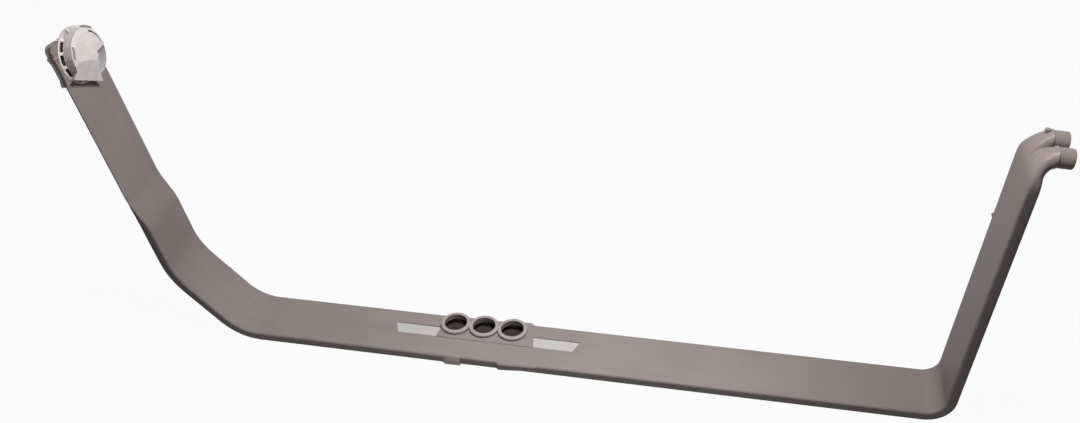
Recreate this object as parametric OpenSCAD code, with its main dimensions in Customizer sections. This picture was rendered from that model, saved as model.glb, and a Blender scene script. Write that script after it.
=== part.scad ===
// Water tube of a built-in dishwasher. One flat blow-moulded duct runs up the
// back wall between a bent spray arm and a bent supply arm. Three docking ports
// stand on it in a row, two hose spigots feed its two channels, and a free-spinning
// spray head is clipped on the tip of the spray arm.
// Working coordinates: X along the back run, Y across the tube, Z off the back
// face. Everything is then moved so that the origin is the middle port's mouth.

/* [Tube section] */
// Width of the flat tube
tube_w = 49; // [46:1:56]
// Thickness of the flat tube
tube_t = 8.6; // [7.6:0.2:12]
// Wall of the moulding
wall = 1.8; // [1.2:0.1:2.2]
// Rounding of the long outer edges
edge_r = 2; // [1.2:0.1:2.4]
// Thickness of the web between the two channels
web_t = 2; // [1.4:0.1:3]
// Where the web closes the far channel, left of the middle port
web_end_x = -52; // [-90:1:-48]

/* [Back run] */
// Middle port to the sharp corner under the spray arm
left_reach = 212; // [150:1:260]
// Middle port to the sharp corner under the supply arm
right_reach = 381; // [250:1:420]

/* [Spray arm] */
// Slope of the slanted piece above the back run
slant_angle = 49; // [40:1:60]
// Length of the slanted piece between its sharp corners
slant_len = 79.5; // [70:0.5:110]
// Inner radius of the lower bend
low_bend_r = 37; // [20:1:45]
// Inner radius of the upper bend
high_bend_r = 56; // [30:1:60]
// Outward lean of the spray arm from upright
spray_lean = 10.6; // [0:0.2:16]
// Length of the spray arm above its sharp corner
spray_arm_len = 219.8; // [190:0.2:300]
// Where the inner face starts to step back
step_from = 50; // [36:1:60]
// Length of that step
step_len = 32; // [24:1:50]
// Height of the pointed side edges above the arm's outer line
lens_edge = 1.2; // [0.4:0.2:3]
// Bulge of the inner face of the upper arm
lens_in = 1.6; // [1:0.2:2.4]
// Bulge of the outer face of the upper arm
lens_out = 7.2; // [6:0.2:9]
// Width of the solid pinched seam along each side of the upper arm
seam_w = 6.5; // [4:0.5:9]
// Corner radius of the arm's tip at its near edge
tip_r = 3.5; // [3:0.5:10]
// Corner radius of the arm's tip at its far edge
tip_far_r = 7; // [4:0.5:10]
// Slope of the arm's end below its side edges
tip_slope = 30; // [10:1:40]
// Slant of the arm's end across its width, lower at the far edge
tip_skew = 6.5; // [0:0.5:8]

/* [Supply arm] */
// Inner radius of the bend under the supply arm
right_bend_r = 14; // [8:1:24]
// Outward lean of the supply arm from upright
supply_lean = 3.6; // [0:0.2:10]
// Length of the supply arm up to its outward bend
supply_arm_len = 229.7; // [180:0.1:300]
// Length over which the arm splits into two round lobes
split_len = 8; // [6:0.5:20]
// Inner radius of the outward bend
out_bend_r = 6; // [5:0.5:12]
// Thickness of a lobe at its shoulder
lobe_t = 15; // [14.6:0.2:17]
// Width of a lobe at its shoulder
lobe_w = 15.2; // [14.6:0.2:17]
// Corner radius of a lobe at its shoulder
lobe_r = 7; // [4:0.2:7.2]
// Distance between the two spigots
spigot_pitch = 20.4; // [19:0.2:26]
// Outer radius of a spigot
spigot_r = 7; // [6.2:0.1:7.2]
// Bore radius of a spigot
spigot_bore_r = 5.3; // [4:0.1:5.8]
// Free length of a spigot
spigot_len = 10.4; // [8:0.2:20]
// Rounding of a spigot's end
spigot_edge = 0.8; // [0.3:0.1:1.2]

/* [Docking ports] */
// Distance between ports
port_pitch = 25; // [23.5:0.5:26]
// Bore radius of a port
port_r = 9.8; // [8.5:0.1:10.4]
// Outer radius of a port's collar
collar_r = 13; // [12:0.1:14]
// Height of the collars above the tube's face
collar_h = 3.4; // [2:0.2:8]
// Rounding of a collar's outer rim
rim_r = 1.2; // [0.4:0.1:1.6]
// How far a bore cuts into the far side wall
port_undercut = 0.3; // [0.2:0.1:0.6]
// Height of the raised bed that the collars stand on
bed_h = 0.5; // [0.3:0.1:1.6]
// Length of the bed at its near edge
bed_len = 85; // [82:1:100]
// How far the bed and the recesses sit right of the middle port
bed_shift = 3.6; // [0:0.2:6]
// Depth of the two shallow recesses beside the ports
recess_depth = 1; // [0.6:0.1:1.4]
// Length of a recess along its far edge
recess_len = 40.5; // [30:0.5:50]
// Size of a recess across the tube
recess_w = 12; // [8:0.5:13]
// How far the locating bumps reach out of the near edge, as a share of the real ones
bump_share = 1; // [0.5:0.1:1.4]

/* [Spray head] */
// Distance from the arm's tip to the head's axis
head_inset = 17.8; // [14:0.2:21]
// Outer radius of the cage's foot ring
foot_r = 22; // [21.6:0.1:25]
// Top of the foot ring above the arm's side edges
foot_h = 2.9; // [2.9:0.1:4.6]
// Outer radius of the rotor and of the cage's crown ring
crown_r = 19.6; // [18:0.1:20.4]
// Top of the crown ring above the arm's side edges
crown_h = 6.3; // [5.8:0.1:9]
// Number of posts between the two rings
post_count = 12; // [8:1:16]
// Height of the rotor's skirt
rotor_skirt = 5.4; // [4:0.1:7]
// Rise of the rotor's dome above its shoulder
rotor_dome = 1.6; // [1:0.1:3]
// Shell of the rotor and of the cage
shell = 1.4; // [1.2:0.1:2]
// Length of the cage's side rails along the arm
rail_len = 27; // [22:0.5:34]
// Depth of the side rails' hooks below the arm's side edges
rail_drop = 2.9; // [2.8:0.1:6]
// Radius of the rotor's pin
pin_r = 1.6; // [1.3:0.1:2]
// Radial running clearance of the rotor on its pin
running_gap = 0.06; // [0.03:0.01:0.1]
// Gap between the rotor and the cage
rotor_gap = 0.5; // [0.3:0.1:1]
// Outer radius of the head's inlet neck
neck_r = 6.2; // [5:0.1:7]
// Clearance of the neck in the arm's outlet and of the rails on its edges
clip_gap = 0.15; // [0.1:0.05:0.3]

/* [Hidden] */
$fn = 96;
corner_steps = 5;
face_steps = 8;
step_rings = 8;
bend_rings = 8;
lead_rings = 4;
join = 0.6;
tuck = 0.04;
over = 1;

port_y = tube_w / 2 - wall - port_r + port_undercut;
mouth_z = tube_t + collar_h;
low_r = low_bend_r + tube_t;
high_r = high_bend_r + tube_t;
right_r = right_bend_r + tube_t;
high_turn = 90 - spray_lean - slant_angle;
right_turn = 90 - supply_lean;
low_tan = low_r * tan(slant_angle / 2);
high_tan = high_r * tan(high_turn / 2);
right_tan = right_r * tan(right_turn / 2);
slant_x = -cos(slant_angle);
slant_z = sin(slant_angle);
corner_x = -left_reach + slant_len * slant_x;
corner_z = slant_len * slant_z;
run_from = -left_reach + low_tan;
run_to = right_reach - right_tan;
step_to = step_from + step_len;
head_s = spray_arm_len - head_inset;

recess_near = -2.8;
recess_end_slant = 5;
recess_inner_slant = 2.2;
recess_from = 40.4;
bed_near = recess_near - 0.5;
bed_slant = 4;

ports_each_side = 1;
port_lead = 0.3;
seam_blunt = 1.4;

bump_low = 0.3;
bump_edge = 1;
bump_inside = -1.6;
long_bump = [
  [-31, bump_inside, bump_inside], [-24, 2.4, 0.7], [-12.2, 2.4, 0.7], [-11.6, bump_inside, bump_inside]
];
fading_bump = [
  [17, bump_inside, bump_inside], [21, 1.8, 2.4], [30, 1.2, 2], [40, 0, 1.5], [52, 0, 1],
  [56, bump_inside, bump_inside]
];
edge_tab = [7, 1.8, 1.8];
edge_tab_x = 33;
edge_tab_drop = 2.2;
arm_nub_r = 1.3;
arm_nub_h = 1.4;
arm_nub_s = 167;
lobe_nub_r = 2;
lobe_nub_x = 2.7;
lobe_nub_y = 12;
lobe_nub_drop = 0.4;

shoulder_run = 0.3;
shoulder_marks = [0.3, 0.6, 0.85, 1];
swell_from = 20;
split_margin = 3;
valley_u = [2.5, 7];
valley_turn = 84;
spigot_lift = 0.5;
spigot_u = spigot_r + spigot_lift;
spigot_z = supply_arm_len + out_bend_r + spigot_u;

rotor_z = crown_h + rotor_gap;
shoulder_w = 3;
shoulder_h = 1.5;
skirt_top = rotor_z + rotor_skirt;
dome_base = skirt_top + shoulder_h;
rotor_top = dome_base + rotor_dome;
hub_r = 3.6;
pin_top = rotor_top - shell - 0.6;
bead_r = pin_r + 0.4;
bead_len = 0.9;
axial_play = 0.3;
plate_z = lens_in + shell;
skew_from = 18;
plate_t = 1;
plate_in = 0.4;
corner_lift = 0.25;
pin_head_r = pin_r + 1;
pin_head_t = 1;
pin_lead = 0.3;

facet_tilt = 27;
facet_turn = -31;
facet_reach = 6.6;
facet_rise = 0.8;
fan = [[0, -12], [0, 5.6], [15.1, 18.6], [15.1, -13.5]];
quarter = [[1.6, 6.2], [8.4, 1.4], [crown_r, 1.4], [crown_r, crown_r], [1.6, crown_r]];
spoke = [1.6, crown_r - 5.6, 1.8];
spoke_from = [-0.2, 5, skirt_top - 0.6];
side_gap_r = [16.3, 17.8];
side_gap_turn = [94, 148];
slit_size = [1.5, 9];
slit_turn = -118;
lip_w = 0.7;
lip_h = 0.35;

rail_in = tube_w / 2 + clip_gap;
rail_t = 1.2;
rail_low = 2;
rail_bar_w = 2.4;
rail_bar_step = 0.6;
rail_over = 0.5;
foot_t = 1.3;
floor_z = lens_in + clip_gap;
hook_in = tube_w / 2 - 1.2;
hook_top = -arc_height(hook_in, tube_w / 2 + seam_blunt, lens_out) - clip_gap;
crown_t = 1.8;
post_w = 2.2;
post_from = foot_r - foot_t;
post_to = crown_r - 2.4;
post_sink = 0.2;
outlets = 4;
outlet_r = 0.9;

duct_grey = [0.49, 0.46, 0.45];
natural_white = [0.86, 0.85, 0.83];
rotor_grey = [0.80, 0.79, 0.78];
pin_grey = [0.62, 0.63, 0.64];

// Frames

// Moves the working coordinates so that the middle port's mouth is the origin
module in_frame() {
  translate([0, -port_y, -mouth_z]) children();
}

// Local X off the slanted piece's outer line, Z up its slope
module on_slant() {
  translate([-left_reach, 0, 0]) rotate([0, slant_angle - 90, 0]) children();
}

// Local X off the arm's outer line towards the inside of the tub, Z up the arm
module on_spray_arm() {
  translate([corner_x, 0, corner_z]) rotate([0, -spray_lean, 0]) children();
}

// Local X away from the tub, Z up the arm
module on_supply_arm() {
  translate([right_reach, 0, 0]) rotate([0, supply_lean, 0]) children();
}

// Axis of the spray head: local Z off the arm's side edges, X down the arm
module on_head() {
  on_spray_arm() translate([lens_edge, 0, head_s]) rotate([0, 90, 0]) children();
}

// Sections and points

// Rounded rectangle from x = 0, centred on y
module round_box(x_size, y_size, r) {
  translate([0, r - y_size / 2]) square([x_size, y_size - 2 * r]);
  translate([r, -y_size / 2]) square([x_size - 2 * r, y_size]);
  for (x = [r, x_size - r], y = [r - y_size / 2, y_size / 2 - r])
    translate([x, y]) circle(r);
}

// Section of the flat tube, inset by one wall for the inside
module flat_section(inset) {
  translate([inset, 0])
    round_box(tube_t - 2 * inset, tube_w - 2 * inset, corner_of(edge_r, inset));
}

function corner_of(r, inset) = max(r - inset, 0.4);

function smooth(w) = w * w * (3 - 2 * w);

function arc_radius(half, rise) = (half * half + rise * rise) / (2 * rise);

function arc_height(y, half, rise) =
  let (r = arc_radius(half, rise)) sqrt(max(r * r - y * y, 0)) - r + rise;

function corner_arc(cx, cy, r, from) =
  [for (i = [0:corner_steps]) let (a = from + 90 * i / corner_steps) [cx, cy] + r * [cos(a), sin(a)]];

function between(p, q, steps) = [for (i = [1:1:steps - 1]) p + (q - p) * i / steps];

// Rounded rectangle as points, counter-clockwise, with its long sides divided
function box_points(x0, x1, y0, y1, r, steps) =
  concat(
    corner_arc(x1 - r, y1 - r, r, 0),
    corner_arc(x0 + r, y1 - r, r, 90),
    between([x0, y1 - r], [x0, y0 + r], steps),
    corner_arc(x0 + r, y0 + r, r, 180),
    corner_arc(x1 - r, y0 + r, r, 270),
    between([x1, y0 + r], [x1, y1 - r], steps)
  );

// Middle of a ring of points
function centre(ring) = [for (p = ring) 1] * ring / len(ring);

// Closed solid through rings of equal length, each counter-clockwise seen from the last
module loft(rings) {
  n = len(rings[0]);
  last = len(rings) - 1;
  count = n * (last + 1);
  top = last * n;
  sides = [
    for (k = [0:last - 1], i = [0:n - 1])
      let (a = k * n + i, b = k * n + (i + 1) % n)
        for (face = [[a, a + n, b + n], [a, b + n, b]]) face
  ];
  ends = [
    for (i = [0:n - 1])
      let (j = (i + 1) % n)
        for (face = [[i, j, count], [top + j, top + i, count + 1]]) face
  ];
  polyhedron(
    points = concat([for (ring = rings) for (p = ring) p], [centre(rings[0]), centre(rings[last])]),
    faces = concat(sides, ends),
    convexity = 6
  );
}

// The tube

module flat_run(length, inset) {
  linear_extrude(length) flat_section(inset);
}

module bend(centre_x, centre_z, from, turn, inner_r, inset) {
  translate([centre_x, 0, centre_z])
    rotate([90, 0, 0])
      rotate([0, 0, from])
        rotate_extrude(angle = turn)
          translate([inner_r, 0])
            flat_section(inset + tuck);
}

module back_run(inset) {
  translate([run_to + join, 0, 0]) rotate([0, -90, 0]) flat_run(run_to - run_from + 2 * join, inset);
}

module low_bend(inset) {
  bend(run_from, low_r, -90 - slant_angle, slant_angle, low_bend_r, inset);
}

module high_bend(inset) {
  centre_x = corner_x - slant_x * high_tan + slant_z * high_r;
  centre_z = corner_z - slant_z * high_tan - slant_x * high_r;
  bend(centre_x, centre_z, -90 - slant_angle - high_turn, high_turn, high_bend_r, inset);
}

module right_bend(inset) {
  bend(run_to, right_r, -90, right_turn, right_bend_r, inset);
}

module slant_run(inset) {
  on_slant()
    translate([0, 0, low_tan - join]) flat_run(slant_len - low_tan - high_tan + 2 * join, inset);
}

// Bulge across the arm, cut from one long round bar
module bulge_bar(length, half, rise, edge_x, side) {
  r = arc_radius(half, rise);
  translate([edge_x + side * (rise - r), 0, 0]) cylinder(h = length, r = r, $fn = 360);
}

// Upper spray arm: pointed side edges, a flat bulge inwards and a deep one outwards
module lens_run(from, to, inset) {
  half = lens_half(inset) + seam_blunt;
  edge_x = lens_edge - inset;
  translate([0, 0, from])
    intersection() {
      bulge_bar(to - from, half, lens_in, edge_x, 1);
      bulge_bar(to - from, half, lens_out - 2 * inset, edge_x, -1);
    }
}

// Half-width of the pointed section, whose side edges end a little before the point
function lens_half(inset) = tube_w / 2 - (inset > 0 ? seam_w : 0);

// Point of the flat section moved onto the pointed section
function lens_point(p, inset) =
  let (
    half = lens_half(inset),
    y = p.y * half / (tube_w / 2 - inset),
    depth = (p.x - tube_t / 2) / (tube_t / 2 - inset),
    rise = depth > 0 ? lens_in : lens_out - 2 * inset
  )
    [lens_edge - inset + depth * arc_height(y, half + seam_blunt, rise), y];

function step_ring(w, z, inset) =
  let (
    edge = inset + tuck,
    flat = box_points(
      edge, tube_t - edge, edge - tube_w / 2, tube_w / 2 - edge, corner_of(edge_r, inset), face_steps
    )
  )
    [for (p = flat) let (q = lens_point(p, inset), m = p * (1 - w) + q * w) [m.x, m.y, z]];

// Step from the flat section to the pointed one
module step_loft(inset) {
  loft([
    for (i = [0:step_rings])
      let (w = i / step_rings)
        step_ring(smooth(w), step_from - join + w * (step_len + 2 * join), inset)
  ]);
}

// Outline of a slanted end with two rounded corners: X across, Y up to reach, open below
module slanted_end(half, reach, near_r, far_r, depth) {
  far_reach = reach + corner_lift - (half - far_r + skew_from) * tan(tip_skew);
  translate([-half, -depth]) square([2 * half, depth + far_reach - far_r]);
  intersection() {
    union() {
      translate([-half, 0]) square([2 * half - far_r, reach - near_r]);
      translate([near_r - half, 0]) square([2 * half - near_r - far_r, reach]);
      translate([near_r - half, reach - near_r]) circle(near_r);
    }
    translate([-skew_from, reach])
      rotate(-tip_skew) translate([-4 * tube_w, -8 * tube_w]) square(8 * tube_w);
  }
  translate([half - far_r, far_reach - far_r]) circle(far_r);
}

// Limits the arm's tip, seen square on
module tip_outline(inset) {
  near_r = corner_of(tip_r, inset);
  far_r = corner_of(tip_far_r, inset);
  translate([-tube_w, 0, 0])
    rotate([90, 0, 90])
      linear_extrude(2 * tube_w)
        slanted_end(lens_half(inset), spray_arm_len - inset, near_r, far_r, 0);
}

module spray_arm(inset) {
  on_spray_arm() {
    translate([0, 0, high_tan - join]) flat_run(step_from - high_tan + join, inset);
    step_loft(inset);
    difference() {
      intersection() {
        lens_run(step_to, spray_arm_len + over, inset);
        tip_outline(inset);
      }
      tip_cut(inset);
    }
  }
}

// Space beyond the sloping end of the arm
module tip_cut(inset) {
  translate([lens_edge, -tube_w, spray_arm_len - inset])
    rotate([0, -tip_slope, 0])
      translate([-2 * tube_w, 0, 0]) cube([2 * tube_w, 2 * tube_w, tube_w]);
}

// Point of a lobe: u across its thickness from the outer face, p along it in millimetres,
// with the outward bend between p = 0 and p = 90 degrees
function lobe_point(p, turn, u) =
  turn <= 0
    ? [-u, supply_arm_len + p]
    : [
        out_bend_r - (out_bend_r + u) * cos(turn) + p,
        supply_arm_len + (out_bend_r + u) * sin(turn)
      ];

// Ring of the lobe on the far side; w runs from the flat half-section to the round shoulder.
// The lobe narrows from the start of the split, and thickens late in its outward bend
function lobe_ring(p, turn, w, shrink, inset) =
  let (
    s = smooth(w),
    swell = pow(max(0, turn - swell_from) / (90 - swell_from), 2),
    edge = inset + (inset > 0 ? 0 : tuck),
    near_start = inset > 0 ? web_t / 2 : -split_margin,
    near_end = (spigot_pitch - lobe_w) / 2 + inset,
    y0 = near_start * (1 - s) + near_end * s + tuck + shrink,
    y1 = (tube_w / 2) * (1 - s) + (spigot_pitch + lobe_w) / 2 * s - edge - shrink,
    u0 = edge + shrink,
    u1 = tube_t * (1 - swell) + lobe_t * swell - edge - shrink,
    full = corner_of(edge_r * (1 - s) + lobe_r * s, inset) + shrink,
    r = min(full, (y1 - y0) / 2 - tuck, (u1 - u0) / 2 - tuck),
    flat = box_points(u0, u1, y0, y1, r, 3)
  )
    [for (i = [len(flat) - 1:-1:0]) let (q = lobe_point(p, turn, flat[i].x)) [q.x, flat[i].y, q.y]];

module lobe(inset) {
  total = split_len + (out_bend_r + tube_t) * PI / 2;
  lead = [
    for (i = [0:lead_rings - 1])
      let (p = -split_len * (1 - i / lead_rings))
        lobe_ring(p, 0, (split_len + p) / total, 0, inset)
  ];
  turned = [
    for (i = [0:bend_rings])
      let (w = i / bend_rings)
        lobe_ring(0, 90 * w, (split_len + (total - split_len) * w) / total, 0, inset)
  ];
  end = inset > 0 ? [] : [
    for (w = shoulder_marks)
      lobe_ring(shoulder_run * sin(90 * w), 90, 1, shoulder_run * (1 - cos(90 * w)), inset)
  ];
  loft(concat(lead, turned, end));
}

// Floor of the valley between the two lobes
module lobe_valley() {
  translate([out_bend_r, 0, supply_arm_len])
    rotate([90, 0, 0])
      rotate([0, 0, 180 - valley_turn])
        rotate_extrude(angle = valley_turn)
          translate([out_bend_r + valley_u[0], -spigot_pitch / 4])
            square([valley_u[1] - valley_u[0], spigot_pitch / 2]);
}

// Axis of the far spigot, from the end of its bend outwards
module on_spigot() {
  translate([out_bend_r, spigot_pitch / 2, spigot_z]) rotate([0, 90, 0]) children();
}

module spigot() {
  reach = shoulder_run + spigot_len;
  rotate_extrude() {
    translate([0, -over]) square([spigot_r, over + reach - spigot_edge]);
    square([spigot_r - spigot_edge, reach]);
    translate([spigot_r - spigot_edge, reach - spigot_edge]) circle(spigot_edge);
  }
}

module supply_arm(inset) {
  on_supply_arm()
    translate([-tube_t, 0, right_tan - join])
      flat_run(supply_arm_len - split_len + 2 * join - right_tan, inset);
}

module outer_tube() {
  back_run(0);
  low_bend(0);
  slant_run(0);
  high_bend(0);
  spray_arm(0);
  right_bend(0);
  supply_arm(0);
  on_supply_arm() {
    lobe_valley();
    for (side = [0, 1])
      mirror([0, side, 0]) {
        lobe(0);
        on_spigot() spigot();
      }
  }
}

// Web between the two channels, and the wall that closes the far one left of the ports
module web() {
  translate([web_end_x, -web_t / 2, -over])
    cube([right_reach - web_end_x + tube_w, web_t, supply_arm_len + tube_w]);
  translate([web_end_x, 0, -over]) cube([web_t, tube_w / 2, tube_t + 2 * over]);
}

module channels() {
  difference() {
    union() {
      back_run(wall);
      low_bend(wall);
      slant_run(wall);
      high_bend(wall);
      spray_arm(wall);
      right_bend(wall);
      supply_arm(wall);
    }
    web();
    recesses(wall + recess_depth, over);
  }
}

// End of one channel, through its lobe and its spigot
module spigot_channel(side) {
  on_supply_arm()
    mirror([0, side, 0]) {
      lobe(wall);
      on_spigot()
        translate([0, 0, -over]) cylinder(h = 2 * over + shoulder_run + spigot_len, r = spigot_bore_r);
    }
}

// Docking ports and the details round them

module on_ports() {
  for (i = [-ports_each_side:ports_each_side])
    translate([i * port_pitch, port_y, 0]) children();
}

module collar() {
  rotate_extrude() {
    square([collar_r, mouth_z - rim_r]);
    square([collar_r - rim_r, mouth_z]);
    translate([collar_r - rim_r, mouth_z - rim_r]) circle(rim_r);
  }
}

module bed() {
  half = bed_len / 2;
  far = tube_w / 2 - edge_r / 2;
  translate([bed_shift, 0, tube_t - over])
    linear_extrude(over + bed_h)
      polygon([[-half, bed_near], [half, bed_near], [half - bed_slant, far], [bed_slant - half, far]]);
}

// Two shallow trapezoid recesses, sunk by depth and grown by margin
module recesses(depth, margin) {
  near = recess_near - margin;
  far = recess_near + recess_w + margin;
  inner = recess_from - margin;
  outer = recess_from + recess_len + margin;
  for (side = [0, 1])
    translate([bed_shift, 0, tube_t - depth])
      mirror([side, 0, 0])
        linear_extrude(depth + over)
          polygon([
            [inner + recess_inner_slant, near], [outer - recess_end_slant, near], [outer, far], [inner, far]
          ]);
}

// Section of a near-edge bump at x, reaching out by low at the back and by high at the front
function bump_ring(x, low, high) =
  let (
    root = edge_r - tube_w / 2 + over,
    out_low = -tube_w / 2 - low * (low > 0 ? bump_share : 1),
    out_high = -tube_w / 2 - high * (high > 0 ? bump_share : 1),
    top = tube_t - bump_low
  )
    [
      [x, root, top], [x, out_high + bump_edge, top], [x, out_high, top - bump_edge],
      [x, out_low, bump_low + bump_edge], [x, out_low + bump_edge, bump_low], [x, root, bump_low]
    ];

// Locating bumps on the near edge
module edge_bumps() {
  loft([for (row = long_bump) bump_ring(row[0], row[1], row[2])]);
  loft([for (row = fading_bump) bump_ring(row[0], row[1], row[2])]);
}

// Small locating tab and nubs on the far edges
module edge_tabs() {
  translate([edge_tab_x, tube_w / 2 - edge_r, tube_t - edge_tab_drop])
    cube([edge_tab.x, edge_r + edge_tab.y, edge_tab.z]);
  on_supply_arm() {
    translate([-tube_t * 0.9, tube_w / 2 - over, arm_nub_s])
      rotate([-90, 0, 0]) cylinder(h = over + arm_nub_h, r = arm_nub_r);
    translate([lobe_nub_x, lobe_nub_y, spigot_z])
      cylinder(h = lobe_t - spigot_u - lobe_nub_drop, r = lobe_nub_r);
  }
}

module duct_body() {
  color(duct_grey)
    in_frame()
      difference() {
        union() {
          outer_tube();
          bed();
          on_ports() collar();
          edge_bumps();
          edge_tabs();
        }
        channels();
        spigot_channel(0);
        spigot_channel(1);
        recesses(recess_depth, 0);
        on_ports() translate([0, 0, tube_t - wall - port_lead]) cylinder(h = mouth_z, r = port_r);
        on_head() translate([0, 0, -lens_out / 3]) cylinder(h = lens_out, r = neck_r + clip_gap);
      }
}

// Spray head cage: one translucent clip moulding

module ring(outer, inner, from, to) {
  translate([0, 0, from])
    difference() {
      cylinder(h = to - from, r = outer);
      translate([0, 0, -over]) cylinder(h = to - from + 2 * over, r = inner);
    }
}

// Outline of the clip seen square on: the arm's tip grown on three sides, open down the arm
module clip_outline(grow, tail) {
  rotate(90)
    slanted_end(tube_w / 2 + grow, head_inset + grow, tip_r + grow, tip_far_r + grow, rail_len / 2 + tail);
}

// Wall round the arm's tip, with its two side rails
module clip_wall() {
  translate([0, 0, -rail_low])
    linear_extrude(rail_low + foot_h - rail_bar_step)
      difference() {
        clip_outline(clip_gap + rail_t, -plate_in);
        clip_outline(clip_gap, over);
      }
}

// Thicker bars and hooks under the arm's edge at both ends of a side rail
module rail_ends() {
  half = rail_len / 2;
  for (x = [rail_bar_w - half, half - rail_bar_w])
    translate([x, rail_in, -rail_drop]) cube([rail_bar_w, rail_t + rail_over, rail_drop + foot_h]);
  for (x = [rail_bar_w - half, half - 2 * rail_bar_w])
    translate([x, hook_in, -rail_drop])
      cube([2 * rail_bar_w, rail_in - hook_in + over, rail_drop + hook_top]);
}

// Plate on the arm's inner face, open inside the foot ring
module foot_plate() {
  translate([0, 0, floor_z])
    linear_extrude(plate_t)
      difference() {
        union() {
          clip_outline(clip_gap + rail_t - plate_in, -2 * plate_in);
          circle(foot_r - plate_in);
        }
        intersection() {
          circle(foot_r - over);
          clip_outline(-over, 2 * foot_r);
        }
      }
}

// Slanted posts from the foot ring up to the crown ring
module posts() {
  rise = crown_h - foot_h;
  run = post_from - post_to;
  slope = atan2(rise, run);
  for (i = [0:post_count - 1])
    rotate([0, 0, i * 360 / post_count])
      translate([post_from + over, -post_w / 2, foot_h - post_sink])
        rotate([0, 180 + slope, 0])
          cube([norm([rise, run]) + over, post_w, shell]);
}

module spray_cage() {
  color(natural_white)
    in_frame()
      on_head() {
        ring(foot_r, foot_r - foot_t, floor_z, foot_h);
        foot_plate();
        clip_wall();
        for (side = [0, 1])
          mirror([0, side, 0]) rail_ends();
        ring(crown_r, crown_r - crown_t, crown_h - shell, crown_h);
        posts();
        inlet_hub();
      }
}

// Neck in the arm's outlet, open plate over it and the boss that holds the pin
module inlet_hub() {
  ring(neck_r, neck_r - shell, -lens_out / 3, plate_z);
  ring(neck_r + 2, neck_r - shell, floor_z, plate_z);
  difference() {
    translate([0, 0, plate_z - join]) cylinder(h = shell, r = neck_r);
    for (i = [0:outlets - 1])
      rotate([0, 0, 45 + i * 360 / outlets])
        translate([(neck_r + hub_r - outlet_r) / 2, 0, 0]) cylinder(h = plate_z + 2 * shell, r = outlet_r);
    cylinder(h = crown_h, r = pin_r);
  }
  ring(hub_r - 0.6, pin_r, plate_z - join, crown_h);
  for (i = [0:outlets - 1])
    rotate([0, 0, i * 360 / outlets])
      translate([neck_r + over, -post_w / 2, floor_z]) cube([post_from - neck_r, post_w, shell]);
}

// Pin pressed into the cage, with a head below and a snap bead above

module rotor_pin() {
  foot_z = plate_z - join - pin_head_t;
  color(pin_grey)
    in_frame()
      on_head()
        rotate_extrude()
          polygon([
            [0, foot_z], [pin_head_r, foot_z], [pin_head_r, foot_z + pin_head_t],
            [pin_r, foot_z + pin_head_t], [pin_r, pin_top - bead_len], [bead_r, pin_top - bead_len / 2],
            [bead_r - pin_lead, pin_top], [0, pin_top]
          ]);
}

// Rotor: a domed cap with one open quarter, a sloping deflector face and a lipped slit

// Outer form of the cap, inset by one shell for the inside
module cap(inset) {
  rim = crown_r - inset;
  shoulder = crown_r - shoulder_w - inset;
  dome_r = arc_radius(shoulder, rotor_dome);
  translate([0, 0, rotor_z - (inset > 0 ? over : 0)])
    cylinder(h = rotor_skirt + (inset > 0 ? over - inset / 2 : 0), r = rim);
  translate([0, 0, skirt_top - inset / 2]) cylinder(h = shoulder_h - inset / 2, r1 = rim, r2 = shoulder);
  intersection() {
    translate([0, 0, dome_base - inset + rotor_dome - dome_r]) sphere(dome_r, $fn = 180);
    translate([0, 0, rotor_z]) cylinder(h = 2 * rotor_top, r = shoulder);
  }
}

// Local X down the sloping deflector face, Z out of it
module on_facet() {
  rotate([0, 0, facet_turn])
    translate([facet_reach, 0, dome_base + facet_rise]) rotate([0, facet_tilt, 0]) children();
}

// Everything above the sloping deflector face
module above_facet(inset) {
  on_facet()
    translate([-2 * crown_r, -2 * crown_r, -inset]) cube([4 * crown_r, 4 * crown_r, 2 * crown_r]);
}

// Deflector plate, which runs out past the rim in a straight lip
module deflector() {
  difference() {
    on_facet() translate([0, 0, -shell]) linear_extrude(shell) polygon(fan);
    translate([-2 * crown_r, -2 * crown_r, rotor_z - 2 * crown_r])
      cube([4 * crown_r, 4 * crown_r, 2 * crown_r]);
  }
}

// Open quarter of the cap, left with its rim
module open_quarter() {
  rim = crown_r - shell;
  translate([0, 0, skirt_top - rotor_skirt / 2])
    intersection() {
      cylinder(h = 2 * rotor_skirt, r = rim);
      linear_extrude(2 * rotor_skirt) polygon(quarter);
    }
}

// Narrow gap between the dome and the rim, beside the spoke
module side_gap() {
  reach = 2 * crown_r;
  intersection() {
    ring(side_gap_r[1], side_gap_r[0], skirt_top - over, rotor_top + over);
    linear_extrude(2 * rotor_top)
      polygon([[0, 0], for (turn = side_gap_turn) reach * [cos(turn), sin(turn)]]);
  }
}

// Box round the slit in the shoulder, grown by margin on each side
module slit_box(margin) {
  rotate([0, 0, slit_turn])
    translate([crown_r - shoulder_w / 2, 0, skirt_top])
      cube([slit_size.x + 2 * margin, slit_size.y + 2 * margin, 4 * shoulder_h], center = true);
}

module spray_rotor() {
  bore_top = pin_top - bead_len - axial_play;
  color(rotor_grey)
    in_frame()
      on_head()
        difference() {
          union() {
            difference() {
              cap(0);
              above_facet(0);
              difference() {
                cap(shell);
                above_facet(shell);
                translate([0, 0, -over]) cylinder(h = 2 * rotor_top, r = hub_r);
              }
              open_quarter();
              side_gap();
            }
            translate(spoke_from) cube(spoke);
            deflector();
            intersection() {
              cap(-lip_h);
              slit_box(lip_w);
            }
          }
          slit_box(0);
          cylinder(h = bore_top, r = pin_r + running_gap);
          translate([0, 0, bore_top - tuck])
            cylinder(h = bead_len + 2 * axial_play, r = bead_r + axial_play);
        }
}

duct_body();
spray_cage();
rotor_pin();
spray_rotor();
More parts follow.
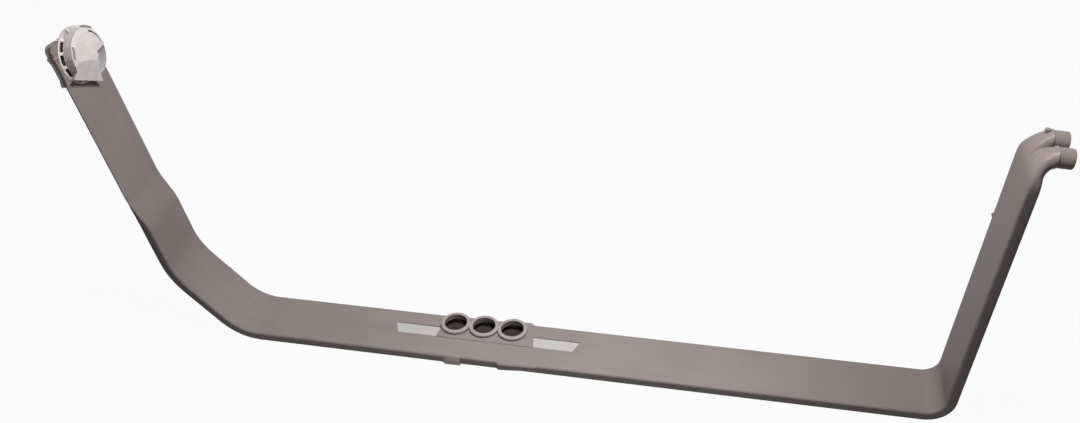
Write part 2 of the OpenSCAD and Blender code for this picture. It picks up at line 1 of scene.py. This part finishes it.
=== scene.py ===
"""Dishwasher water tube: smooth skins, finishes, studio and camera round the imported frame.

Every length is in metres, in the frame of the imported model: X along the back run towards
the supply arm, Y across the tube towards its far edge, Z out of the docking ports, and the
origin at the middle port's mouth.
"""

import logging
import math
from dataclasses import dataclass, field
from enum import Enum
from typing import Any

import bmesh
import bpy
from mathutils import Matrix, Vector

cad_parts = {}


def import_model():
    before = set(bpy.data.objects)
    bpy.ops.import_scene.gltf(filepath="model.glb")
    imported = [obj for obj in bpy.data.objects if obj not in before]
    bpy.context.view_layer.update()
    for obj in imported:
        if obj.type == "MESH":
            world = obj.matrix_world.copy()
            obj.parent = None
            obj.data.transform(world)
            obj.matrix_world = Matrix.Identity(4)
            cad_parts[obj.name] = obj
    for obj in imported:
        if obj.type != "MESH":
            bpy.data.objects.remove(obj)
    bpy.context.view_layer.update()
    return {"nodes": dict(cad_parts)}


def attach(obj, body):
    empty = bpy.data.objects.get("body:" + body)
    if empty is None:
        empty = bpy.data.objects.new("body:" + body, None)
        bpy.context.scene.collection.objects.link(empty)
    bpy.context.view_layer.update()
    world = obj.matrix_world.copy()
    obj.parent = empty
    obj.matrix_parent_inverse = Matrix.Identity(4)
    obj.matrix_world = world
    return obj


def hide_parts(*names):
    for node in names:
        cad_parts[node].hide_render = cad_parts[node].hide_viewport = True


Colour = tuple[float, float, float]
Point = tuple[float, float, float]
Span = tuple[float, float]

LOG = logging.getLogger("water_tube")
MM = 0.001
WELD_REACH = 0.004 * MM
SLIVER = 0.002 * MM
UPRIGHT_DEG = 90.0
PLASTIC_IOR = 1.49
WHITE: Colour = (1.0, 1.0, 1.0)
WARM_WHITE: Colour = (1.0, 0.985, 0.975)
NODES_PER_ROW = 12
NODE_WIDTH = 180
NODE_HEIGHT = 220


class Slot(Enum):
    """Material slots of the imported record."""

    DUCT = "duct_plastic"
    NATURAL = "natural_plastic"
    STEEL = "pin_steel"
    ROTOR = "rotor_plastic"


class Body(Enum):
    """Bodies that the pieces ride on."""

    TUBE = "tube"
    ROTOR = "rotor"


@dataclass(frozen=True)
class Band:
    """Span of a coordinate where a mask is 1, with soft edges outside it."""

    low: float
    high: float
    soft: float


@dataclass(frozen=True)
class Pattern:
    """Settings of one noise: features per metre, octaves and weight of the finer ones."""

    scale: float
    detail: float = 2.0
    rough: float = 0.5


def rgba(colour: Colour) -> tuple[float, float, float, float]:
    """A colour with full alpha."""
    return (*colour, 1.0)


class Sock:
    """A shader socket that takes part in arithmetic; each operation adds a Math node."""

    def __init__(self, shader: "Nodes", socket: bpy.types.NodeSocket) -> None:
        """Wraps one output socket.

        Args:
            shader: The builder that owns the node tree.
            socket: The output socket to wrap.
        """
        self.shader = shader
        self.socket = socket

    def _math(self, operation: str, first: Any, second: Any) -> "Sock":
        """Adds one Math node.

        Args:
            operation: Blender's name of the operation.
            first: First operand, a number or a wrapped socket.
            second: Second operand, a number or a wrapped socket.

        Returns:
            The wrapped result.
        """
        return self.shader.node("ShaderNodeMath", {"operation": operation}, {0: first, 1: second})

    def __add__(self, other: Any) -> "Sock":
        """Adds."""
        return self._math("ADD", self, other)

    def __radd__(self, other: Any) -> "Sock":
        """Adds, with the number first."""
        return self._math("ADD", other, self)

    def __sub__(self, other: Any) -> "Sock":
        """Subtracts."""
        return self._math("SUBTRACT", self, other)

    def __rsub__(self, other: Any) -> "Sock":
        """Subtracts from a number."""
        return self._math("SUBTRACT", other, self)

    def __mul__(self, other: Any) -> "Sock":
        """Multiplies."""
        return self._math("MULTIPLY", self, other)

    def __rmul__(self, other: Any) -> "Sock":
        """Multiplies, with the number first."""
        return self._math("MULTIPLY", other, self)

    def __abs__(self) -> "Sock":
        """Absolute value."""
        return self._math("ABSOLUTE", self, 0.0)

    def highest(self, other: Any) -> "Sock":
        """Larger of two values."""
        return self._math("MAXIMUM", self, other)

    def over(self, low: float, high: float) -> "Sock":
        """Smooth rise from 0 at low to 1 at high.

        Args:
            low: Value at which the result leaves 0.
            high: Value at which the result reaches 1.

        Returns:
            The wrapped result, between 0 and 1.
        """
        return self.shader.node(
            "ShaderNodeMapRange",
            {"interpolation_type": "SMOOTHSTEP"},
            {"Value": self, "From Min": low, "From Max": high},
        )

    def past(self, start: float, soft: float) -> "Sock":
        """0 up to start, rising to 1 over a soft edge beyond it."""
        return self.over(start, start + soft)

    def below(self, end: float, soft: float) -> "Sock":
        """1 up to end, falling to 0 over a soft edge beyond it."""
        return 1.0 - self.past(end, soft)

    def within(self, band: Band) -> "Sock":
        """1 inside a band, falling to 0 over its soft edges."""
        return self.over(band.low - band.soft, band.low) * self.below(band.high, band.soft)


class Nodes:
    """Adds nodes to one node tree."""

    def __init__(self, tree: bpy.types.NodeTree) -> None:
        """Takes over a node tree and empties it.

        Args:
            tree: The tree of a material or of the world.
        """
        self.tree = tree
        self.tree.nodes.clear()
        self._place = 0

    def node(
        self, kind: str, settings: dict[str, Any], values: dict[int | str, Any], out: int | str = 0
    ) -> Sock:
        """Adds one node with its settings first and its inputs after.

        Args:
            kind: Blender's type name of the node.
            settings: Attributes of the node, such as a Math node's operation.
            values: Inputs by index or name: a number, a tuple or a wrapped socket.
            out: Output to wrap, by index or name.

        Returns:
            The wrapped output.
        """
        made = self.tree.nodes.new(kind)
        self._place += 1
        row, column = divmod(self._place, NODES_PER_ROW)
        made.location = (NODE_WIDTH * column, -NODE_HEIGHT * row)
        for key, value in settings.items():
            setattr(made, key, value)
        for key, value in values.items():
            if isinstance(value, Sock):
                self.tree.links.new(value.socket, made.inputs[key])
            else:
                made.inputs[key].default_value = value
        return Sock(self, made.outputs[out])

    def mixed(self, factor: Sock, first: Sock, second: Sock) -> Sock:
        """Mixes two shaders.

        Args:
            factor: Share of the second shader.
            first: First shader.
            second: Second shader.

        Returns:
            The wrapped shader.
        """
        return self.node("ShaderNodeMixShader", {}, {0: factor, 1: first, 2: second})

    def glow(self, kind: str, colour: Colour, strength: float = 1.0) -> Sock:
        """Adds a shader that gives light.

        Args:
            kind: Blender's type name: Background in the world, Emission on a surface.
            colour: Colour of the light.
            strength: Strength of the light.

        Returns:
            The wrapped shader.
        """
        return self.node(kind, {}, {"Color": rgba(colour), "Strength": strength})

    def backdrop_rays(self) -> Sock:
        """Finds the rays that see the background.

        Returns:
            1 for rays from the camera, by reflection or through a piece, and 0 for others.
        """
        path = self.node("ShaderNodeLightPath", {}, {}, "Is Camera Ray")
        outputs = path.socket.node.outputs
        glossy = Sock(self, outputs["Is Glossy Ray"])
        through = Sock(self, outputs["Is Transmission Ray"])
        return path.highest(glossy).highest(through)

    def end(self, kind: str, shader: Sock) -> None:
        """Links a shader to a new output node.

        Args:
            kind: Blender's type name of the output node.
            shader: The wrapped shader.
        """
        out = self.tree.nodes.new(kind)
        self.tree.links.new(shader.socket, out.inputs["Surface"])


class Shader(Nodes):
    """Builds one node material."""

    def __init__(self, name: str) -> None:
        """Starts an empty node material.

        Args:
            name: Name of the material.
        """
        self.material = bpy.data.materials.new(name)
        self.material.use_nodes = True
        super().__init__(self.material.node_tree)
        self._coords: Sock | None = None

    def coords(self) -> Sock:
        """Object coordinates, in metres."""
        if self._coords is None:
            self._coords = self.node("ShaderNodeTexCoord", {}, {}, "Object")
        return self._coords

    def axes(self) -> tuple[Sock, Sock, Sock]:
        """Object coordinates split into X, Y and Z."""
        split = self.node("ShaderNodeSeparateXYZ", {}, {0: self.coords()})
        outputs = split.socket.node.outputs
        return Sock(self, outputs[0]), Sock(self, outputs[1]), Sock(self, outputs[2])

    def stretched(self, scale: Point) -> Sock:
        """Object coordinates multiplied by a factor along each axis."""
        return self.node("ShaderNodeMapping", {}, {"Vector": self.coords(), "Scale": scale})

    def noise(self, pattern: Pattern, vector: Sock | None = None) -> Sock:
        """Noise between 0 and 1.

        Args:
            pattern: Its settings.
            vector: Coordinates, or none for plain object coordinates.

        Returns:
            The wrapped factor.
        """
        values = {
            "Vector": vector or self.coords(),
            "Scale": pattern.scale,
            "Detail": pattern.detail,
            "Roughness": pattern.rough,
        }
        return self.node("ShaderNodeTexNoise", {}, values)

    def mix(self, factor: Any, first: Any, second: Any) -> Sock:
        """Mixes two colours.

        Args:
            factor: Share of the second colour.
            first: First colour, a triple or a wrapped socket.
            second: Second colour, a triple or a wrapped socket.

        Returns:
            The wrapped colour.
        """
        first = first if isinstance(first, Sock) else rgba(first)
        second = second if isinstance(second, Sock) else rgba(second)
        return self.node(
            "ShaderNodeMix",
            {"data_type": "RGBA", "clamp_factor": True},
            {0: factor, 6: first, 7: second},
            2,
        )

    def bump(self, height: Sock, depth: float) -> Sock:
        """Bump from a height between 0 and 1.

        Args:
            height: The wrapped height.
            depth: Depth in metres.

        Returns:
            The wrapped normal.
        """
        values = {"Height": height, "Distance": depth, "Strength": 1.0}
        return self.node("ShaderNodeBump", {}, values)

    def finish(self, **sockets: Any) -> bpy.types.Material:
        """Ends the material in a Principled shader.

        Args:
            **sockets: Inputs of the shader by name, with _ for a space.

        Returns:
            The finished material.
        """
        values = {key.replace("_", " "): value for key, value in sockets.items()}
        self.end("ShaderNodeOutputMaterial", self.node("ShaderNodeBsdfPrincipled", {}, values))
        return self.material


@dataclass(frozen=True)
class DuctFinish:
    """Satin, warm grey blow-moulded plastic, glossier at the ports, recesses and lobes; painted
    shade darkens the arms and the inside under the ports, and a painted sheen lightens the recess
    floors and collar rims.
    """

    body: Colour = (0.258, 0.223, 0.217)
    body_share: float = 0.5
    dark: Colour = (0.225, 0.19, 0.184)
    light: Colour = (0.288, 0.25, 0.244)
    tone_span: Span = (0.3, 0.7)
    # Painted sheen: a lighter colour for the recess floors and collar rims that stands in for
    # their reflection; the floors' lower roughness is real gloss.
    painted_sheen: Colour = (0.47, 0.445, 0.445)
    # Painted shade: near-black colour for the duct's inside seen down the ports.
    painted_inside_shade: Colour = (0.045, 0.036, 0.034)

    mottle: Pattern = Pattern(14.0, 3.0)
    mottle_share: float = 0.6
    streak: Pattern = Pattern(1.0, 4.0, 0.6)
    run_stretch: Point = (6.0, 170.0, 60.0)
    arm_stretch: Point = (60.0, 170.0, 6.0)
    grain: Pattern = Pattern(1100.0, 3.0, 0.6)
    grain_share: float = 0.5
    grain_depth: float = 0.04 * MM
    pits: Pattern = Pattern(260.0)

    arm_left: float = -0.255
    arm_right: float = 0.372
    arm_soft: float = 5.0 * MM
    # Painted shade on the arms: a darker colour mixed over the left arm and, growing along X, over
    # the right arm, since the lamps alone light them too brightly.
    painted_arm_shade: Colour = (0.14, 0.115, 0.11)
    arm_shade_left: float = 0.32
    arm_shade_right: float = 0.62
    arm_shade_from: float = 0.14
    arm_shade_fade: float = 35.0 * MM

    recess_shift: float = 3.6 * MM
    recess_x: Band = Band(40.4 * MM, 80.9 * MM, 0.6 * MM)
    recess_y: Band = Band(-16.0 * MM, -4.0 * MM, 0.4 * MM)
    recess_z: Band = Band(-4.7 * MM, -4.1 * MM, 0.2 * MM)
    port_soft: float = 1.0 * MM
    inside_reach: float = 36.0 * MM
    inside_half: float = 11.0 * MM
    inside_z: Band = Band(-10.6 * MM, -5.3 * MM, 0.3 * MM)
    collar_reach: float = 40.0 * MM
    collar_z: Band = Band(-2.5 * MM, 1.0 * MM, 1.0 * MM)
    # Painted highlight: heights and share of the lighter colour on the collar rims.
    rim_sheen_span: Span = (-0.9 * MM, -0.3 * MM)
    rim_sheen_share: float = 0.4
    lobes_x: float = 0.385
    lobes_z: float = 0.208

    roughness: float = 0.5
    streak_rough: float = 0.1
    grain_rough: float = 0.08
    recess_gloss: float = 0.45
    specular: float = 0.03
    plain_coat: float = 0.04
    gloss_coat: float = 0.16
    coat_roughness: float = 0.32

    def build(self) -> bpy.types.Material:
        """Makes the material.

        Returns:
            The material.
        """
        s = Shader("duct_plastic")
        x, y, z = s.axes()
        left_arm = 1.0 - x.over(self.arm_left - self.arm_soft, self.arm_left)
        arm = x.past(self.arm_right, self.arm_soft).highest(left_arm)
        along_run = s.noise(self.streak, s.stretched(self.run_stretch))
        along_arm = s.noise(self.streak, s.stretched(self.arm_stretch))
        streaks = along_run * (1.0 - arm) + along_arm * arm
        mottle = s.noise(self.mottle)
        grain = s.noise(self.grain)
        pits = s.noise(self.pits)

        recess = (
            abs(x - self.recess_shift).within(self.recess_x)
            * y.within(self.recess_y)
            * z.within(self.recess_z)
        )
        # Painted shade: the duct's inside under the ports, where little light reaches, is coloured
        # near black.
        painted_inside_shade = (
            abs(x).below(self.inside_reach, self.port_soft)
            * abs(y).below(self.inside_half, self.port_soft)
            * z.within(self.inside_z)
        )
        collars = abs(x).below(self.collar_reach, self.port_soft) * z.within(self.collar_z)
        lobes = x.past(self.lobes_x, self.arm_soft) * z.past(self.lobes_z, self.arm_soft)

        tone = mottle * self.mottle_share + streaks * (1.0 - self.mottle_share)
        colour = s.mix(tone.over(*self.tone_span), self.dark, self.light)
        colour = s.mix(self.body_share, colour, self.body)
        # Painted shade: darker on the left arm and increasingly darker towards the right arm.
        left_arm_shade_mask = 1.0 - x.over(self.arm_left - self.arm_soft, self.arm_left + self.arm_shade_fade)
        painted_arm_shade = x.over(self.arm_shade_from, self.arm_right) * self.arm_shade_right
        colour = s.mix(painted_arm_shade + self.arm_shade_left * left_arm_shade_mask, colour, self.painted_arm_shade)
        # Painted sheen: the recess floors are lightened.
        colour = s.mix(recess, colour, self.painted_sheen)
        # Painted shade inside the duct under the ports.
        colour = s.mix(painted_inside_shade, colour, self.painted_inside_shade)
        # Painted highlight: the top of the collar rims is lightened.
        colour = s.mix(self.rim_sheen_share * collars * z.over(*self.rim_sheen_span), colour, self.painted_sheen)

        rough = self.roughness + self.streak_rough * (streaks - 0.5)
        rough = rough + self.grain_rough * (grain - 0.5)
        rough = rough * (1.0 - self.recess_gloss * recess)
        gloss = collars.highest(lobes).highest(recess)
        height = grain * self.grain_share + pits * (1.0 - self.grain_share)
        return s.finish(
            Base_Color=colour,
            Roughness=rough,
            Normal=s.bump(height, self.grain_depth),
            IOR=PLASTIC_IOR,
            Specular_IOR_Level=self.specular,
            Coat_Weight=self.plain_coat + (self.gloss_coat - self.plain_coat) * gloss,
            Coat_Roughness=self.coat_roughness,
        )


@dataclass(frozen=True)
class HeadPlace:
    """Axis of the spray head, and distances measured from it in a shader."""

    origin: Point = (-0.300137, -0.0132, 0.246774)
    out: Point = (0.982935, 0.0, 0.183951)
    down: Point = (0.183951, 0.0, -0.982935)

    def local(self, s: Shader) -> tuple[Sock, Sock, Sock]:
        """Object coordinates along the head's own axes.

        Args:
            s: The material builder.

        Returns:
            Distance down the arm, across it, and out of its face, in metres.
        """
        x, y, z = s.axes()
        dx = x - self.origin[0]
        dy = y - self.origin[1]
        dz = z - self.origin[2]
        down = dx * self.down[0] + dz * self.down[2]
        out = dx * self.out[0] + dz * self.out[2]
        return down, dy, out


@dataclass(frozen=True)
class NaturalFinish:
    """Natural, translucent plastic of the cage, with painted shade making its low outer surfaces
    beyond the ring darker and its edge wall darkest.
    """

    body: Colour = (0.7, 0.64, 0.62)
    shade: Colour = (0.5, 0.43, 0.41)
    # Painted shade: darker colour for the low outer surfaces beyond the ring and darkest colour
    # for the edge wall below them, standing in for edge darkening and shade; the speckle within
    # them is random tone.
    shaded_clip: Colour = (0.2, 0.16, 0.15)
    shaded_wall: Colour = (0.12, 0.09, 0.08)

    cloud: Pattern = Pattern(160.0, 3.0)
    speck: Pattern = Pattern(700.0, 3.0, 0.6)
    grain: Pattern = Pattern(1500.0)
    grain_depth: float = 0.02 * MM
    shade_span: Span = (0.35, 0.75)
    wall_span: Span = (0.45, 0.75)

    ring_r: float = 22.1 * MM
    ring_soft: float = 0.4 * MM
    plate_top: float = 3.2 * MM
    plate_soft: float = 0.2 * MM
    wall_top: float = 2.6 * MM
    wall_soft: float = 0.4 * MM

    roughness: float = 0.28
    cloud_rough: float = 0.12
    body_alpha: float = 0.96
    clip_alpha: float = 0.72

    def build(self) -> bpy.types.Material:
        """Makes the material.

        Returns:
            The material.
        """
        s = Shader("natural_plastic")
        down, across, out = HeadPlace().local(s)
        cloud = s.noise(self.cloud)
        speck = s.noise(self.speck)
        grain = s.noise(self.grain)

        square_r = down * down + across * across
        beyond = square_r.over(self.ring_r**2, (self.ring_r + self.ring_soft) ** 2)
        # Painted shade zones beyond the ring: darker below the plate top, darkest below the wall
        # top; the first zone is also more see-through.
        shaded_clip = beyond * (1.0 - out.over(self.plate_top - self.plate_soft, self.plate_top))
        shaded_wall = beyond * (1.0 - out.over(self.wall_top - self.wall_soft, self.wall_top))

        shaded_clip_colour = s.mix(speck.over(*self.shade_span), self.shaded_clip, self.shade)
        shaded_wall_colour = s.mix(speck.over(*self.wall_span), self.shaded_wall, self.shaded_clip)
        colour = s.mix(cloud.over(*self.shade_span), self.body, self.shade)
        colour = s.mix(shaded_clip, colour, shaded_clip_colour)
        colour = s.mix(shaded_wall, colour, shaded_wall_colour)
        return s.finish(
            Base_Color=colour,
            Roughness=self.roughness + self.cloud_rough * (cloud - 0.5),
            Alpha=self.body_alpha - (self.body_alpha - self.clip_alpha) * shaded_clip,
            Normal=s.bump(grain, self.grain_depth),
            IOR=PLASTIC_IOR,
        )


@dataclass(frozen=True)
class RotorFinish:
    """Pale grey plastic of the spinning cap."""

    body: Colour = (0.64, 0.595, 0.58)
    cool: Colour = (0.55, 0.52, 0.51)
    cool_span: Span = (0.3, 0.7)
    cloud: Pattern = Pattern(120.0, 3.0)
    grain: Pattern = Pattern(1400.0)
    grain_depth: float = 0.02 * MM
    roughness: float = 0.34
    cloud_rough: float = 0.1

    def build(self) -> bpy.types.Material:
        """Makes the material.

        Returns:
            The material.
        """
        s = Shader("rotor_plastic")
        cloud = s.noise(self.cloud)
        grain = s.noise(self.grain)
        return s.finish(
            Base_Color=s.mix(cloud.over(*self.cool_span), self.body, self.cool),
            Roughness=self.roughness + self.cloud_rough * (cloud - 0.5),
            Normal=s.bump(grain, self.grain_depth),
            IOR=PLASTIC_IOR,
        )


@dataclass(frozen=True)
class SteelFinish:
    """Turned stainless pin."""

    body: Colour = (0.5, 0.5, 0.51)
    worn: Colour = (0.42, 0.42, 0.43)
    turning: Pattern = Pattern(1.0)
    turning_stretch: Point = (4000.0, 60.0, 60.0)
    roughness: float = 0.25
    turning_rough: float = 0.15

    def build(self) -> bpy.types.Material:
        """Makes the material.

        Returns:
            The material.
        """
        s = Shader("pin_steel")
        turning = s.noise(self.turning, s.stretched(self.turning_stretch))
        return s.finish(
            Base_Color=s.mix(turning, self.body, self.worn),
            Roughness=self.roughness + self.turning_rough * turning,
            Metallic=1.0,
        )


def smooth_copy(node: bpy.types.Object, name: str, sharp_deg: float) -> bpy.types.Object:
    """Copies a CAD node, welds it and shades it smooth between its sharp edges.

    Args:
        node: The CAD node.
        name: Name of the new piece.
        sharp_deg: Edges sharper than this stay crisp.

    Returns:
        The new piece, at the origin.
    """
    mesh = node.data.copy()
    mesh.name = name
    bm = bmesh.new()
    bm.from_mesh(mesh)
    bmesh.ops.remove_doubles(bm, verts=bm.verts, dist=WELD_REACH)
    bmesh.ops.dissolve_degenerate(bm, dist=SLIVER, edges=bm.edges)
    limit = math.radians(sharp_deg)
    for face in bm.faces:
        face.smooth = True
    for edge in bm.edges:
        edge.smooth = len(edge.link_faces) == 2 and edge.calc_face_angle(0.0) < limit
    bm.to_mesh(mesh)
    bm.free()
    mesh.materials.clear()
    piece = bpy.data.objects.new(name, mesh)
    bpy.context.scene.collection.objects.link(piece)
    return piece


@dataclass
class Moulding:
    """Pieces that stand for solids of the frame, as the frame has them, with smooth skins."""

    nodes: dict[str, bpy.types.Object]
    pieces: list[bpy.types.Object] = field(default_factory=list)

    def add(
        self, node: str, body: Body, slot: Slot, material: bpy.types.Material, sharp_deg: float
    ) -> None:
        """Adds one skin in place of a node.

        Args:
            node: Name of the CAD node that the skin stands for.
            body: Body that it rides on.
            slot: Material slot of the record; not used.
            material: Its finish.
            sharp_deg: Edges sharper than this stay crisp.
        """
        piece = smooth_copy(self.nodes[node], node + "_skin", sharp_deg)
        piece.data.materials.append(material)
        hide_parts(node)
        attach(piece, body.value)
        self.pieces.append(piece)


@dataclass
class Duct(Moulding):
    """The flat duct with its two arms, ports and spigots."""

    sharp_deg: float = 32.0

    def build(self) -> None:
        """Makes and dresses the duct."""
        self.add("duct_body", Body.TUBE, Slot.DUCT, DuctFinish().build(), self.sharp_deg)


@dataclass
class SprayHead(Moulding):
    """Cage, pin and spinning rotor at the tip of the spray arm."""

    cage_sharp_deg: float = 30.0
    pin_sharp_deg: float = 30.0
    rotor_sharp_deg: float = 16.0

    def build(self) -> None:
        """Makes and dresses the cage, the pin and the rotor."""
        natural = NaturalFinish().build()
        self.add("spray_cage", Body.TUBE, Slot.NATURAL, natural, self.cage_sharp_deg)
        steel = SteelFinish().build()
        self.add("rotor_pin", Body.TUBE, Slot.STEEL, steel, self.pin_sharp_deg)
        pale = RotorFinish().build()
        self.add("spray_rotor", Body.ROTOR, Slot.ROTOR, pale, self.rotor_sharp_deg)


@dataclass(frozen=True)
class SoftLamp:
    """One soft area lamp."""

    name: str
    place: Point
    target: Point
    size: Span
    watts: float
    colour: Colour

    def build(self) -> None:
        """Makes the lamp and turns it towards its target."""
        data = bpy.data.lights.new(self.name, "AREA")
        data.shape = "RECTANGLE"
        data.size, data.size_y = self.size
        data.energy = self.watts
        data.color = self.colour
        lamp = bpy.data.objects.new(self.name, data)
        aim = (Vector(self.target) - Vector(self.place)).to_track_quat("-Z", "Y")
        lamp.matrix_world = Matrix.Translation(self.place) @ aim.to_matrix().to_4x4()
        bpy.context.scene.collection.objects.link(lamp)


@dataclass
class Studio:
    """Camera, floor, world and lamps."""

    position: Point = (200.7 * MM, -651.5 * MM, 631.8 * MM)
    heading_deg: float = 12.74
    pitch_deg: float = -36.99
    roll_deg: float = -2.38
    lens_mm: float = 35.83
    sensor_mm: float = 36.0
    clip_start: float = 0.01
    clip_end: float = 50.0

    back_z: float = -12.0 * MM
    floor_gap: float = 0.2 * MM
    floor_size: float = 30.0
    floor_colour: Colour = (0.3, 0.3, 0.3)
    floor_white: float = 0.95
    world_light: float = 0.05

    top_soft: SoftLamp = SoftLamp(
        "top_soft", (0.15, -0.06, 0.7), (0.15, 0.0, 0.0), (0.22, 0.22), 6.4, WARM_WHITE
    )
    front_fill: SoftLamp = SoftLamp(
        "front_fill", (1.2, -1.4, 0.9), (0.05, 0.0, 0.0), (1.4, 1.0), 1.5, WHITE
    )

    def camera(self) -> None:
        """Makes the camera at the photograph's place and angle."""
        data = bpy.data.cameras.new("photo_camera")
        data.lens = self.lens_mm
        data.sensor_width = self.sensor_mm
        data.sensor_fit = "HORIZONTAL"
        data.clip_start = self.clip_start
        data.clip_end = self.clip_end
        camera = bpy.data.objects.new("photo_camera", data)
        turn = (
            Matrix.Rotation(math.radians(self.heading_deg), 4, "Z")
            @ Matrix.Rotation(math.radians(UPRIGHT_DEG + self.pitch_deg), 4, "X")
            @ Matrix.Rotation(math.radians(self.roll_deg), 4, "Z")
        )
        camera.matrix_world = Matrix.Translation(self.position) @ turn
        bpy.context.scene.collection.objects.link(camera)
        bpy.context.scene.camera = camera

    def world(self) -> None:
        """Soft even light, and plain white where the camera or a reflection sees the world."""
        world = bpy.data.worlds.new("studio_world")
        world.use_nodes = True
        s = Nodes(world.node_tree)
        light = s.glow("ShaderNodeBackground", WARM_WHITE, self.world_light)
        white = s.glow("ShaderNodeBackground", WHITE)
        s.end("ShaderNodeOutputWorld", s.mixed(s.backdrop_rays(), light, white))
        bpy.context.scene.world = world

    def floor(self) -> None:
        """Pale floor that keeps the shadow and is nearly white for the camera."""
        half = self.floor_size / 2
        height = self.back_z - self.floor_gap
        square = [(-half, -half), (half, -half), (half, half), (-half, half)]
        mesh = bpy.data.meshes.new("floor")
        mesh.from_pydata([(x, y, height) for x, y in square], [], [(0, 1, 2, 3)])
        piece = bpy.data.objects.new("floor", mesh)
        bpy.context.scene.collection.objects.link(piece)
        s = Shader("floor_pale")
        matte = s.node("ShaderNodeBsdfDiffuse", {}, {"Color": rgba(self.floor_colour)})
        white = s.glow("ShaderNodeEmission", WHITE)
        share = s.backdrop_rays() * self.floor_white
        s.end("ShaderNodeOutputMaterial", s.mixed(share, matte, white))
        mesh.materials.append(s.material)

    def build(self) -> None:
        """Makes everything round the object."""
        self.world()
        self.floor()
        self.top_soft.build()
        self.front_fill.build()
        bpy.context.scene.view_settings.view_transform = "Standard"


def main() -> None:
    """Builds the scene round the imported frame."""
    logging.basicConfig(level=logging.INFO, format="%(name)s: %(message)s")
    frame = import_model()
    studio = Studio()
    studio.camera()
    for assembly in (Duct(frame["nodes"]), SprayHead(frame["nodes"])):
        assembly.build()
        for piece in assembly.pieces:
            LOG.info("%s: %d faces", piece.name, len(piece.data.polygons))
    studio.build()


if __name__ == "__main__":
    main()
